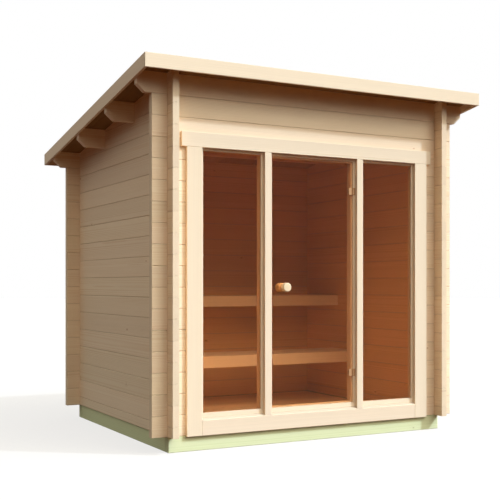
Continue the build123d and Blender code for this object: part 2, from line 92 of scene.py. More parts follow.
# %% Helpers for materials
def linear(hex_colour):
    """The renderer's colour for a screen colour such as 'E6D1B4'."""
    channels = [int(hex_colour[i:i + 2], 16) / 255 for i in (0, 2, 4)]
    curve_off = [c / 12.92 if c <= 0.04045 else ((c + 0.055) / 1.055) ** 2.4 for c in channels]
    return (*curve_off, 1.0)


def node(tree, kind, inputs=None, **settings):
    """Add a shader node. Each input is a plain value or another node's output."""
    made = tree.nodes.new("ShaderNode" + kind)
    for name, value in settings.items():
        setattr(made, name, value)
    for socket, value in (inputs or {}).items():
        if isinstance(value, bpy.types.NodeSocket):
            tree.links.new(value, made.inputs[socket])
        else:
            made.inputs[socket].default_value = value
    return made.outputs


def new_material(name):
    """An empty material, with its node tree and the socket that its surface goes to."""
    material = bpy.data.materials.new(name)
    material.use_nodes = True
    material.node_tree.nodes.clear()
    output = material.node_tree.nodes.new("ShaderNodeOutputMaterial")
    return material, material.node_tree, output.inputs["Surface"]


print("mid grey on the screen is", round(linear("808080")[0], 3), "to the renderer")

# %% [markdown]
# ## Studio floor
# The cabin stands on a plain pale floor with nothing round it. The floor looks white to the camera
# and takes the cabin's shadow, but throws only a little warm light back up, so the eaves stay dark
# from below. The Light Path node tells rays that are seen from the rest, and each kind gets its
# own colour.

# %% Studio floor
WHITE = (1, 1, 1, 1)
FLOOR_RADIUS = 60
FLOOR_SIDES = 64
FLOOR_DROP = 0.5 * MM
FLOOR_SEEN = "7C7C7C"
FLOOR_BOUNCE = "46240D"
FLOOR_GLOW = 0.72


def seen_directly(tree):
    """1 for rays from the camera, and for rays that a mirror or a pane sends on."""
    path = node(tree, "LightPath")
    seen = node(tree, "Math", {0: path["Is Camera Ray"], 1: path["Is Glossy Ray"]}, operation="ADD")[0]
    return node(
        tree, "Math", {0: seen, 1: path["Is Transmission Ray"]}, operation="ADD", use_clamp=True,
    )[0]


def make_floor_material():
    """White to the eye, with a soft grey shadow, and a dim warm bounce."""
    material, tree, surface = new_material("studio_floor")
    seen = seen_directly(tree)
    dim, pale = linear(FLOOR_BOUNCE), linear(FLOOR_SEEN)
    colour = node(tree, "Mix", {0: seen, 6: dim, 7: pale}, data_type="RGBA")[2]
    glow = node(tree, "Math", {0: seen, 1: FLOOR_GLOW}, operation="MULTIPLY")[0]
    matt = node(tree, "BsdfDiffuse", {"Color": colour})[0]
    light = node(tree, "Emission", {"Color": WHITE, "Strength": glow})[0]
    tree.links.new(node(tree, "AddShader", {0: matt, 1: light})[0], surface)
    return material


def make_floor():
    """A wide round floor, a hair below ground level."""
    bm = bmesh.new()
    bmesh.ops.create_circle(bm, cap_ends=True, segments=FLOOR_SIDES, radius=FLOOR_RADIUS)
    mesh = bpy.data.meshes.new("studio_floor")
    bm.to_mesh(mesh)
    bm.free()
    mesh.materials.append(make_floor_material())
    floor = bpy.data.objects.new("studio_floor", mesh)
    floor.location.z = -FLOOR_DROP
    bpy.context.scene.collection.objects.link(floor)


make_floor()
print("floor radius in metres:", FLOOR_RADIUS)

# %% [markdown]
# ## Sky
# Under the eaves it is dark, because little light comes from low down. So the sky is dark near the
# horizon and bright up high, with one soft bright patch in front and another round the sun. It
# looks white where it is seen. Only bounced rays look for the sky, because they are the ones that
# get through glass.

# %% Sky
SUN_TRAVEL = Vector((-1.33, 1.0, -1.48))
SKY_TINT = (1.06, 0.97, 0.77, 1)
SKY_LOW = 0.03
SKY_HIGH = 0.70
SKY_HIGH_FROM = 0.6
SKY_FRONT_TOWARDS = Vector((0.5, -0.85, 0.75)).normalized()
SKY_FRONT_LEVEL = 2.9
SKY_FRONT_POWER = 8
SUN_GLOW_LEVEL = 3.0
SUN_GLOW_POWER = 12


def glow_towards(tree, way, towards, power, level):
    """A soft round patch of light in one direction: a higher power makes it smaller."""
    facing = node(tree, "VectorMath", {0: way, 1: towards}, operation="DOT_PRODUCT")["Value"]
    facing = node(tree, "Math", {0: facing, 1: 0.0}, operation="MAXIMUM")[0]
    patch = node(tree, "Math", {0: facing, 1: power}, operation="POWER")[0]
    return node(tree, "Math", {0: patch, 1: level}, operation="MULTIPLY")[0]


def sky_level(tree):
    """How bright the sky is in each direction."""
    way = node(tree, "TexCoord")["Generated"]
    up = node(tree, "SeparateXYZ", {0: way})["Z"]
    rise = node(
        tree, "MapRange", {"Value": up, "From Max": SKY_HIGH_FROM}, interpolation_type="SMOOTHSTEP",
    )[0]
    front = glow_towards(tree, way, SKY_FRONT_TOWARDS, SKY_FRONT_POWER, SKY_FRONT_LEVEL)
    high = node(tree, "Math", {0: front, 1: SKY_HIGH}, operation="ADD")[0]
    high = node(tree, "Math", {0: high, 1: rise}, operation="MULTIPLY")[0]
    glow = glow_towards(tree, way, -SUN_TRAVEL.normalized(), SUN_GLOW_POWER, SUN_GLOW_LEVEL)
    total = node(tree, "Math", {0: high, 1: glow}, operation="ADD")[0]
    return node(tree, "Math", {0: total, 1: SKY_LOW}, operation="ADD")[0]


def make_sky():
    """The sky as a world: a light for the object, and plain white to the eye."""
    world = bpy.data.worlds.new("daylight")
    world.use_nodes = True
    tree = world.node_tree
    tree.nodes.clear()
    light = node(tree, "Background", {"Color": SKY_TINT, "Strength": sky_level(tree)})[0]
    white = node(tree, "Background", {"Color": WHITE, "Strength": 1.0})[0]
    both = node(tree, "MixShader", {0: seen_directly(tree), 1: light, 2: white})[0]
    node(tree, "OutputWorld", {"Surface": both})
    world.cycles.sampling_method = "NONE"
    bpy.context.scene.world = world


make_sky()
print("sky levels:", SKY_LOW, "at the horizon,", SKY_HIGH + SKY_LOW, "overhead, before the patches")

# %% [markdown]
# ## Sun
# The sun comes from the front right, from well up. It is wider than the real one, so the edge of a
# shadow is about 4 cm soft for each metre that the light travels on, as under a thin haze. Its
# colour is a little cool, to balance the warm sky.

# %% Sun
SUN_LEVEL = 2.33
SUN_COLOUR = (0.86, 1.00, 1.13)
SUN_SPREAD = math.radians(2.2)


def make_sun():
    """A lamp so far away that its rays are parallel."""
    sun = bpy.data.lights.new("sun", "SUN")
    sun.energy = SUN_LEVEL
    sun.color = SUN_COLOUR
    sun.angle = SUN_SPREAD
    lamp = bpy.data.objects.new("sun", sun)
    lamp.rotation_euler = SUN_TRAVEL.to_track_quat("-Z", "Y").to_euler()
    bpy.context.scene.collection.objects.link(lamp)


make_sun()
print("sun travels", [round(v, 2) for v in SUN_TRAVEL.normalized()])

# %% [markdown]
# ## Wood with a direction
# Sawn wood shows the rings of the tree: long lines on its faces and arcs on its ends. A pattern
# painted face by face gives that away at once, because the ends don't match. Here every board
# carries its own solid block of tree. Each corner of its mesh gets a "grain" coordinate in metres:
# how far along the board, and how far from the heart of the tree that it was cut from. The
# material cuts through the same rings everywhere, so faces, edges and ends agree.
# A second value, "lot", is a random number for each board, which shifts its tone a little. A
# third value is the share of light that a face loses: sawn ends are rougher than planed sides,
# faces that look up out of doors get painted shade that tones down the sun on them, and the
# chamfers at the joints of logs get painted shade, as in a crease.

# %% Marking each board
HEART_OFF_ACROSS = 70 * MM
HEART_OFF_THROUGH = 55 * MM
ALONG_SHIFT = 20.0
LOOKS_THAT_WAY = 0.8
DULL_END = 0.1
# Painted shade: up-facing faces out of doors and the chamfers at log joints are darkened.
PAINTED_SHADE_TOP = 0.35
PAINTED_SHADE_JOINT = 0.14
CHAMFER_SLANT = (0.25, 0.97)


def islands(bm):
    """The separate solids of a mesh, each as a list of its vertices."""
    left = set(bm.verts)
    found = []
    while left:
        start = left.pop()
        group, edge_of = [start], [start]
        while edge_of:
            vertex = edge_of.pop()
            for edge in vertex.link_edges:
                other = edge.other_vert(vertex)
                if other in left:
                    left.discard(other)
                    group.append(other)
                    edge_of.append(other)
        found.append(group)
    found.sort(key=lambda g: tuple(round(min(v.co[axis] for v in g), 4) for axis in range(3)))
    return found


def end_dullness_and_painted_shade(normal, along, through, outdoors, logs):
    """The share of light that a face loses: as a sawn end, and as painted shade on a log's chamfer and on
    a top in the open.
    """
    least, most = CHAMFER_SLANT
    if abs(normal[along]) > LOOKS_THAT_WAY:
        return DULL_END
    if logs and least < abs(normal[through]) < most:
        return PAINTED_SHADE_JOINT
    return PAINTED_SHADE_TOP if outdoors and normal.z > LOOKS_THAT_WAY else 0.0


def mark_boards(bm, seed, outdoors=True, logs=False):
    """Give each solid its grain coordinates, its lot, and its dull ends and painted-shade faces. Grain
    runs the long way.
    """
    chance = random.Random(seed)
    grain = bm.verts.layers.float_vector.new("grain")
    lot = bm.verts.layers.float.new("lot")
    dull_and_painted_shade = bm.faces.layers.float.new("dull_and_painted_shade")
    boards = islands(bm)
    for group in boards:
        low = Vector([min(v.co[axis] for v in group) for axis in range(3)])
        high = Vector([max(v.co[axis] for v in group) for axis in range(3)])
        size, middle = high - low, (high + low) / 2
        thin, wide, along = sorted(range(3), key=lambda axis: size[axis])
        heart = (
            chance.uniform(0, ALONG_SHIFT),
            chance.uniform(-HEART_OFF_THROUGH, HEART_OFF_THROUGH),
            chance.uniform(-HEART_OFF_ACROSS, HEART_OFF_ACROSS),
        )
        lot_number = chance.random()
        for v in group:
            place = v.co - middle
            v[grain] = Vector((place[along], place[thin], place[wide])) + Vector(heart)
            v[lot] = lot_number
            for face in v.link_faces:
                face[dull_and_painted_shade] = end_dullness_and_painted_shade(face.normal, along, thin, outdoors, logs)
    return len(boards)


print("share of light lost: sawn end", DULL_END, "top", PAINTED_SHADE_TOP, "log joint", PAINTED_SHADE_JOINT)

# %% [markdown]
# ## Easing the edges
# A planed board never has knife edges: they are rounded by a millimetre or two so that they don't
# splinter, and that thin round catches the light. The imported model's boards have square edges, so
# each is copied, its loose triangles are joined into flat faces, and a small bevel runs round every
# edge. The copy then stands for the original, in the same place.

# %% Eased copies of packed boards
MERGE_WITHIN = 0.02 * MM
FLAT_WITHIN = math.radians(1)
SHARP_OVER = math.radians(30)


def finished_piece(bm, name, material, body, stands_for=()):
    """Turn a bmesh into a piece that rides on a body."""
    mesh = bpy.data.meshes.new(name)
    bm.to_mesh(mesh)
    bm.free()
    mesh.materials.append(material)
    piece = bpy.data.objects.new(name, mesh)
    bpy.context.scene.collection.objects.link(piece)
    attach(piece, body)
    if stands_for:
        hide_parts(*stands_for)
    return piece


def copied_solid(node_name):
    """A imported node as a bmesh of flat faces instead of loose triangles."""
    bm = bmesh.new()
    bm.from_mesh(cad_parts[node_name].data)
    bmesh.ops.remove_doubles(bm, verts=bm.verts, dist=MERGE_WITHIN)
    bmesh.ops.dissolve_limit(bm, angle_limit=FLAT_WITHIN, verts=bm.verts, edges=bm.edges)
    return bm


def stretched_cube(bm, low, high):
    """A block between two corners."""
    size = [high[axis] - low[axis] for axis in range(3)]
    middle = [(high[axis] + low[axis]) / 2 for axis in range(3)]
    matrix = Matrix.Translation(middle) @ Matrix.Diagonal((*size, 1))
    bmesh.ops.create_cube(bm, size=1, matrix=matrix)


def ease_edges(bm, radius, segments=2):
    """Round every sharp edge."""
    sharp = [e for e in bm.edges if e.is_manifold and e.calc_face_angle() > SHARP_OVER]
    bmesh.ops.bevel(
        bm, geom=sharp, offset=radius, offset_type="OFFSET", segments=segments, profile=0.5,
        affect="EDGES", material=-1, clamp_overlap=True,
    )
    bm.normal_update()


def eased_board(node_name, radius, material, outdoors=True, logs=False):
    """A packed board or log with eased edges and its own grain."""
    bm = copied_solid(node_name)
    ease_edges(bm, radius)
    count = mark_boards(bm, node_name, outdoors, logs)
    return finished_piece(bm, node_name + "_eased", material, "cabin", [node_name]), count


mullion = copied_solid("frame_mullion_left")
print("faces of a packed mullion, once joined:", len(mullion.faces))
mullion.free()

# %% [markdown]
# ## Spruce, aspen, beech and treated pine
# Nordic spruce is pale cream with slightly darker, redder late wood in each ring, and small brown
# knots. It was sawn and planed, so it is matt, with a faint sheen along the fibres. Aspen, used
# for the benches, is paler and nearly without rings. The knobs are turned from beech. The base
# beams are pine, soaked under pressure in a green preservative. All of them are one recipe with
# other numbers, made in steps: knots, rings, fibres, colour, age and tone.
#
# Knots come first, because the rings bend round them. Each stretch of a board has one chance of a
# knot. A knot is a soft oval, twice as long along the grain as across it, and it goes right
# through the board.

# %% Knots
KNOT_STEP_ALONG = 420 * MM
KNOT_STEP_ACROSS = 130 * MM
KNOT_SCATTER = 0.9
KNOT_SQUEEZE = 0.5
KNOT_RADIUS = (4 * MM, 10 * MM)
CORE_FADE = (1.3, 0.4)
HALO_FADE = (4.5, 0.8)


def knot_marks(tree, grain, knots):
    """Two values from 0 to 1: how far inside a knot a point is, and how near one."""
    cells_per_metre = (1 / KNOT_STEP_ALONG, 0.0, 1 / KNOT_STEP_ACROSS)
    cell = node(tree, "VectorMath", {0: grain, 1: cells_per_metre}, operation="MULTIPLY")[0]
    spots = node(tree, "TexVoronoi", {"Vector": cell, "Scale": 1.0, "Randomness": KNOT_SCATTER})
    off = node(tree, "VectorMath", {0: cell, 1: spots["Position"]}, operation="SUBTRACT")[0]
    cell_size = (KNOT_SQUEEZE * KNOT_STEP_ALONG, 0.0, KNOT_STEP_ACROSS)
    off = node(tree, "VectorMath", {0: off, 1: cell_size}, operation="MULTIPLY")[0]
    away = node(tree, "VectorMath", {0: off}, operation="LENGTH")["Value"]
    draw = node(tree, "SeparateColor", {0: spots["Color"]})
    here = node(tree, "Math", {0: draw["Red"], 1: knots}, operation="LESS_THAN")[0]
    least, most = KNOT_RADIUS
    radius = node(tree, "MapRange", {"Value": draw["Green"], "To Min": least, "To Max": most})[0]
    inside = node(tree, "Math", {0: away, 1: radius}, operation="DIVIDE")[0]
    marks = []
    for none_at, full_at in (CORE_FADE, HALO_FADE):
        mark = node(tree, "MapRange", {"Value": inside, "From Min": none_at, "From Max": full_at})[0]
        marks.append(node(tree, "Math", {0: mark, 1: here}, operation="MULTIPLY")[0])
    return marks


print("knots are", [round(2 * radius / MM) for radius in KNOT_RADIUS], "mm across the grain")

# %% [markdown]
# Rings are circles round the heart of the tree. A wave texture draws them, and its distortion
# makes them waver, which happens slowly along the board and faster across it. Near a knot they are
# pushed aside. Real rings are 2 to 4 mm wide. Seen from six metres that is under a pixel, so those
# of the boards are drawn 7 to 9 mm wide, which shows as the faint streaks that such logs have.

# %% Rings
RINGS_PER_UNIT = 20 / (2 * math.pi)
WAVER_ALONG = 0.05
WAVER_DEPTH = 5.0
WAVER_SCALE = 0.25
WAVER_DETAIL = 2.0
KNOT_PUSH = 5.0
LATE_WOOD_FADE = (0.35, 0.95)


def late_wood(tree, grain, near_knot, ring):
    """The share of dark late wood, which rises across each ring and ends sharply."""
    slowed = node(tree, "VectorMath", {0: grain, 1: (WAVER_ALONG, 1.0, 1.0)}, operation="MULTIPLY")[0]
    pushed = node(tree, "Math", {0: near_knot, 1: KNOT_PUSH}, operation="MULTIPLY")[0]
    rings = node(
        tree, "TexWave",
        {
            "Vector": slowed, "Scale": 1 / (ring * RINGS_PER_UNIT), "Phase Offset": pushed,
            "Distortion": WAVER_DEPTH, "Detail": WAVER_DETAIL, "Detail Scale": WAVER_SCALE,
            "Detail Roughness": 0.5,
        },
        wave_type="RINGS", rings_direction="X", wave_profile="SAW",
    )["Fac"]
    none_at, full_at = LATE_WOOD_FADE
    return node(
        tree, "MapRange", {"Value": rings, "From Min": none_at, "From Max": full_at},
        interpolation_type="SMOOTHSTEP",
    )[0]


print("rings at a scale of 1 are", round(1 / (RINGS_PER_UNIT * MM)), "mm wide")

# %% [markdown]
# Single fibres are far too fine for the picture. Streaks half a metre long and about 5 mm wide
# stand for them. Broader streaks, about 45 mm wide, make the rings clear in some places and faint
# in others. The colour goes from early wood to late wood with both, and the knots come on top.

# %% Fibres and colour
FINE_PER_METRE = (2.0, 190.0, 190.0)
FINE_DETAIL = 3.0
BROAD_PER_METRE = (0.9, 22.0, 22.0)
BROAD_DETAIL = 2.0
BROAD_RANGE = (0.3, 0.7)
FAINT_RINGS = 0.25
KNOT_DEPTH = 0.5


def streaks(tree, grain, per_metre, detail):
    """Soft streaks, given as how many there are to a metre along the board and across it."""
    place = node(tree, "VectorMath", {0: grain, 1: per_metre}, operation="MULTIPLY")[0]
    return node(tree, "TexNoise", {"Vector": place, "Scale": 1.0, "Detail": detail})["Fac"]


def wood_colour(tree, colours, late_share, broad, in_knot, contrast):
    """Early wood, late wood and knots, before age and light have changed them."""
    early, late, knot = [linear(colour) for colour in colours]
    least, most = BROAD_RANGE
    strength = node(
        tree, "MapRange",
        {
            "Value": broad, "From Min": least, "From Max": most,
            "To Min": FAINT_RINGS * contrast, "To Max": contrast,
        },
    )[0]
    share = node(tree, "Math", {0: late_share, 1: strength}, operation="MULTIPLY", use_clamp=True)[0]
    colour = node(tree, "Mix", {0: share, 6: early, 7: late}, data_type="RGBA")[2]
    knot_share = node(tree, "Math", {0: in_knot, 1: KNOT_DEPTH}, operation="MULTIPLY")[0]
    return node(tree, "Mix", {0: knot_share, 6: colour, 7: knot}, data_type="RGBA")[2]


print("fine streaks are", round(1 / (FINE_PER_METRE[1] * MM), 1), "mm wide")

# %% [markdown]
# Painted shade: indoors the log walls are painted a little redder, for the warm dim light in the
# closed room, and outside the room the roof boards are painted darker, for the shade under the
# eaves. So the colour is multiplied by one tint inside the room's box, which reaches just into the
# walls, and by another outside it. Light that has already met other wood comes back a little more
# orange, and a tint on bounced rays alone shows that.

# %% Painted shade and bounces
ROOM_MARGIN = 2 * MM
ROOM_HALF_WIDTH = -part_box("left_wall")[1].x + ROOM_MARGIN
ROOM_HALF_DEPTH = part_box("rear_wall")[0].y + ROOM_MARGIN
BOUNCE_TINT = "FFF0D8"


def tinted_with_painted_shade(tree, colour, indoors, outdoors):
    """Painted shade: tint the colour by where it is, inside the room's box or outside it."""
    place = node(tree, "SeparateXYZ", {0: node(tree, "TexCoord")["Object"]})
    across = node(tree, "Math", {0: place["X"]}, operation="ABSOLUTE")[0]
    across = node(tree, "Math", {0: across, 1: ROOM_HALF_WIDTH}, operation="LESS_THAN")[0]
    deep = node(tree, "Math", {0: place["Y"]}, operation="ABSOLUTE")[0]
    deep = node(tree, "Math", {0: deep, 1: ROOM_HALF_DEPTH}, operation="LESS_THAN")[0]
    in_room = node(tree, "Math", {0: across, 1: deep}, operation="MULTIPLY")[0]
    shade_tint = node(tree, "Mix", {0: in_room, 6: linear(outdoors), 7: linear(indoors)}, data_type="RGBA")[2]
    return node(tree, "Mix", {0: 1.0, 6: colour, 7: shade_tint}, data_type="RGBA", blend_type="MULTIPLY")[2]


def warmed_by_bounces(tree, colour):
    """Tint the colour for rays that have bounced off something dull before."""
    bounced = node(tree, "LightPath")["Is Diffuse Ray"]
    tint = linear(BOUNCE_TINT)
    return node(tree, "Mix", {0: bounced, 6: colour, 7: tint}, data_type="RGBA", blend_type="MULTIPLY")[2]


print("room in metres:", round(2 * ROOM_HALF_WIDTH, 2), "by", round(2 * ROOM_HALF_DEPTH, 2))

# %% [markdown]
# No two boards have the same tone. The lot number gives each its own lightness and a slight turn
# of its hue. Fine streaks add a little to that, and dull ends and faces with painted shade lose
# their share of light.

# %% Tone of each board
TONE_LIFT = 0.4
FINE_RANGE = (0.25, 0.75)
FINE_TONES = (0.97, 1.02)
HUES = (0.494, 0.504)


def toned(tree, colour, fine, tone):
    """Make each board lighter or darker, and redder or yellower, than its neighbours."""
    lot = node(tree, "Attribute", attribute_name="lot")["Fac"]
    dull_and_painted_shade = node(tree, "Attribute", attribute_name="dull_and_painted_shade")["Fac"]
    board = node(tree, "TexWhiteNoise", {"W": lot}, noise_dimensions="1D")
    darkest, lightest = 1 - tone, 1 + tone * TONE_LIFT
    level = node(
        tree, "MapRange", {"Value": board["Value"], "To Min": darkest, "To Max": lightest},
    )[0]
    least, most = FINE_RANGE
    dark, light = FINE_TONES
    streak = node(
        tree, "MapRange",
        {"Value": fine, "From Min": least, "From Max": most, "To Min": dark, "To Max": light},
    )[0]
    level = node(tree, "Math", {0: level, 1: streak}, operation="MULTIPLY")[0]
    # Dull sawn ends, and the painted shade on tops and log joints, take their share of light away.
    kept_share = node(tree, "Math", {0: 1.0, 1: dull_and_painted_shade}, operation="SUBTRACT")[0]
    level = node(tree, "Math", {0: level, 1: kept_share}, operation="MULTIPLY")[0]
    turn = node(tree, "SeparateColor", {0: board["Color"]})["Blue"]
    redder, yellower = HUES
    hue = node(tree, "MapRange", {"Value": turn, "To Min": redder, "To Max": yellower})[0]
    return node(tree, "HueSaturation", {"Hue": hue, "Value": level, "Color": colour})[0]


print("hues turn by", [round(360 * (hue - 0.5), 1) for hue in HUES], "degrees")

# %% [markdown]
# Now the steps are put together. Fibres and late wood stand up by a fraction of a millimetre,
# which breaks up the shine, and the surface is a little rougher in some streaks than in others.

# %% Timber
FIBRE_HEIGHT = 0.6 * MM
SMOOTHER_BY = 0.08
ROUGHER_BY = 0.1
WOOD_SHEEN = 0.1


def timber(
    name, colours, ring=8 * MM, contrast=0.5, tone=0.06, knots=0.4, roughness=0.62, relief=0.25,
    indoors="FFFFFF", outdoors="FFFFFF",
):
    """A solid wood from the colours of its early wood, late wood and knots."""
    material, tree, surface = new_material(name)
    grain = node(tree, "Attribute", attribute_name="grain")["Vector"]
    in_knot, near_knot = knot_marks(tree, grain, knots)
    late_share = late_wood(tree, grain, near_knot, ring)
    fine = streaks(tree, grain, FINE_PER_METRE, FINE_DETAIL)
    broad = streaks(tree, grain, BROAD_PER_METRE, BROAD_DETAIL)
    colour = wood_colour(tree, colours, late_share, broad, in_knot, contrast)
    # Painted shade: the indoor and outdoor tints.
    colour = tinted_with_painted_shade(tree, colour, indoors, outdoors)
    colour = toned(tree, colour, fine, tone)
    colour = warmed_by_bounces(tree, colour)
    height = node(tree, "Math", {0: fine, 1: late_share}, operation="ADD")[0]
    bump = node(tree, "Bump", {"Strength": relief, "Distance": FIBRE_HEIGHT, "Height": height})[0]
    least, most = roughness - SMOOTHER_BY, roughness + ROUGHER_BY
    rough = node(tree, "MapRange", {"Value": fine, "To Min": least, "To Max": most})[0]
    wood = node(
        tree, "BsdfPrincipled",
        {"Base Color": colour, "Roughness": rough, "Specular IOR Level": WOOD_SHEEN, "Normal": bump},
    )[0]
    tree.links.new(wood, surface)
    return material


# Planed logs: matt, with faint rings and now and then a knot, and painted redder indoors as
# painted shade for the warm light of the room.
log_spruce = timber(
    "log_spruce_planed", ("FAEBD6", "D2AB7A", "A87340"),
    contrast=0.30, tone=0.06, knots=0.07, indoors="FFEED0",
)
# Sanded frame boards, picked free of knots: nearly plain.
frame_spruce = timber(
    "frame_spruce_sanded", ("F1E4D3", "DEC5A0", "A8743F"),
    ring=7 * MM, contrast=0.20, tone=0.03, knots=0.0, relief=0.12,
)
# Roof boards as the saw left them: rough, with clear rings, and painted darker outside the room
# as painted shade under the eaves.
deck_spruce = timber(
    "deck_spruce_sawn", ("D2AC7E", "AC7C47", "7A4A22"),
    contrast=0.5, tone=0.1, roughness=0.75, outdoors="B8AC95",
)
# Planed floor boards: clear rings and knots.
floor_spruce = timber(
    "floor_spruce_planed", ("F3E3CB", "D9B88A", "8A5527"), contrast=0.4, tone=0.07,
)
# Sanded aspen: silky and even.
bench_aspen = timber(
    "bench_aspen_sanded", ("FBF0E0", "EBD9BC", "B08450"),
    ring=9 * MM, contrast=0.22, tone=0.03, knots=0.08, roughness=0.5, relief=0.1,
)
# Turned beech: fine rings and a smooth, slightly shiny skin.
knob_beech = timber(
    "knob_beech_turned", ("F2E2C6", "DDBB8C", "8A5527"),
    ring=4 * MM, contrast=0.5, tone=0.0, knots=0.0, roughness=0.4, relief=0.08,
)
# Pressure-treated pine: pale green and dull.
green_timber = timber(
    "base_pine_treated_green", ("E5F2CD", "C4D6A0", "8E9458"),
    contrast=0.35, tone=0.03, knots=0.15, roughness=0.72,
)
timbers = (log_spruce, frame_spruce, deck_spruce, floor_spruce, bench_aspen, knob_beech, green_timber)
print("timbers:", [material.name for material in timbers])

# %% [markdown]
# ## Log walls
# Each wall is a stack of planed logs with tongue and groove, crossed and notched at the corners.
# A narrow bevel on their already chamfered edges turns each joint into a soft V that holds a
# shadow. All logs of a wall are one mesh, but each keeps its own grain and tone. The two purlins
# under the roof are logs too. The base beams and the joists are thicker timbers with wider rounds.

# %% Logs, purlins and base
LOG_EASE = 0.8 * MM
BEAM_EASE = 3 * MM

for node_name in (
    "left_wall", "right_wall", "rear_wall", "front_wall_left", "front_wall_right", "front_wall_top",
    "purlin_front", "purlin_rear",
):
    piece, count = eased_board(node_name, LOG_EASE, log_spruce, logs=True)
    print(node_name, "logs:", count, "faces:", len(piece.data.polygons))

for node_name in (
    "base_beam_front", "base_beam_rear", "base_beam_left", "base_beam_right", "floor_joists",
):
    piece, count = eased_board(node_name, BEAM_EASE, green_timber)
    print(node_name, "timbers:", count, "faces:", len(piece.data.polygons))

# %% [markdown]
# ## Boards of the front, the eaves and the benches
# These are planed and sanded boards. The frame's edges are rounded by about two millimetres, the
# small glazing beads by one, and the bench boards by three, because people sit on them.

# %% Frame, fascias and benches
EASED_GROUPS = (
    (2.0 * MM, frame_spruce, "frame_spruce", (
        "frame_head_board", "frame_jamb_left", "frame_jamb_right", "frame_bottom_rail",
        "frame_mullion_left", "frame_mullion_right",
        "fascia_front", "fascia_rear", "fascia_left", "fascia_right",
    )),
    (1.0 * MM, frame_spruce, "frame_spruce", ("window_beads_left", "window_beads_right", "door_lining")),
    (3.0 * MM, bench_aspen, "bench_aspen", (
        "bench_upper_front", "bench_upper_seat", "bench_upper_bearers",
        "bench_lower_front", "bench_lower_seat", "bench_lower_bearers",
    )),
)

for radius, material, slot, node_names in EASED_GROUPS:
    for node_name in node_names:
        eased_board(node_name, radius, material, outdoors=not node_name.startswith("bench"))
    print(slot, "pieces:", len(node_names), "edges rounded by", round(radius / MM, 1), "mm")

# %% [markdown]
# Indoors, a strip stands in each corner between a mullion and the beads or stops beside it. It
# hides the step behind the glass, so from outside the mullions look as deep as they are.

# %% Cover strips
BEAD_WIDTH = 16 * MM
STOP_REACH = 28 * MM
FOOT_ABOVE_SILL = 31 * MM
STRIP_GAP = 0.5 * MM
STRIP_EASE = 2 * MM


def make_cover_strips():
    """A strip on both sides of each mullion, from the sill to the head."""
    mullion_low, mullion_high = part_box("frame_mullion_right")
    beads_low, beads_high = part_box("window_beads_right")
    lining_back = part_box("door_lining")[1].y
    window_side = (mullion_high.x, mullion_high.x + BEAD_WIDTH, beads_high.y)
    door_side = (mullion_low.x - STOP_REACH, mullion_low.x, lining_back)
    bm = bmesh.new()
    for near, far, front in (window_side, door_side):
        for left, right in ((near, far), (-far, -near)):
            low = (left + STRIP_GAP, front + STRIP_GAP, beads_low.z + FOOT_ABOVE_SILL)
            top = mullion_high.z - BEAD_WIDTH - STRIP_GAP
            stretched_cube(bm, low, (right - STRIP_GAP, mullion_high.y, top))
    ease_edges(bm, STRIP_EASE)
    count = mark_boards(bm, "cover strips", outdoors=False)
    finished_piece(bm, "mullion_cover_strips", frame_spruce, "cabin")
    return count


print("cover strips:", make_cover_strips())

# %% [markdown]
# ## Roof deck and felt
# The roof is a layer of boards nailed down the slope, and over them strips of felt laid across it.
# Felt starts at the low edge, and each strip laps the one below, so that rain runs over the joint.
# Flat-headed nails hold every lap. The boards are cubes stretched to size, eased and then sheared
# to the slope, so their ends stay upright against the fascias.

# %% Roof boards
ROOF_PITCH = math.radians(9)
ROOF_SLOPE = math.tan(ROOF_PITCH)
DECK_BOARD = 96 * MM
DECK_GAP = 1.5 * MM
DECK_THICK = 19 * MM
DECK_UPRIGHT = DECK_THICK / math.cos(ROOF_PITCH)
DECK_EASE = 1.5 * MM
NARROWEST_SHARE = 0.2

deck_low, deck_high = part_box("roof_deck")


def lay_on_slope(bm, level_at_front):
    """Tilt a flat layer to the roof's slope by shearing it down towards the rear."""
    shear = Matrix.Identity(4)
    shear[2][1] = -ROOF_SLOPE
    lift = Matrix.Translation((0, 0, level_at_front + ROOF_SLOPE * deck_low.y))
    bmesh.ops.transform(bm, matrix=lift @ shear, verts=bm.verts)


def board_edges(low, high, step, first_joint):
    """Boards from low to high, a step wide. The last joint leaves no sliver beside it."""
    joints = [low]
    joint = first_joint
    while joint < high - step * NARROWEST_SHARE:
        joints.append(joint)
        joint += step
    joints.append(high)
    return list(zip(joints[:-1], joints[1:]))


def make_deck():
    """Separate boards from the high front edge to the low rear one."""
    bm = bmesh.new()
    count = int((deck_high.x - deck_low.x) / DECK_BOARD)
    first = -(count - 1) * DECK_BOARD / 2
    strips = board_edges(deck_low.x, deck_high.x, DECK_BOARD, first)
    for left, right in strips:
        low = (left + DECK_GAP / 2, deck_low.y, -DECK_UPRIGHT)
        stretched_cube(bm, low, (right - DECK_GAP / 2, deck_high.y, 0))
    ease_edges(bm, DECK_EASE)
    mark_boards(bm, "deck")
    lay_on_slope(bm, deck_high.z)
    finished_piece(bm, "roof_boards", deck_spruce, "cabin", ["roof_deck"])
    return len(strips)


print("roof boards:", make_deck())

# %% [markdown]
# ## Turned shapes
# A lathe turns half an outline into a round thing, and a spin does the same in Blender. Knobs, nail
# heads and screw heads are all made in this way, each from a few points: how far out from the axis,
# and how far along it.

# %% Turned shapes
RUB_MARK = 2 * MM
RUB_DEPTH = 0.1 * MM
RUB_STRENGTH = 0.15
RUB_DETAIL = 2.0
HEAD_SHAPE = ((0, 1), (0.55, 0.9), (0.9, 0.5), (1, 0.2), (1, 0))


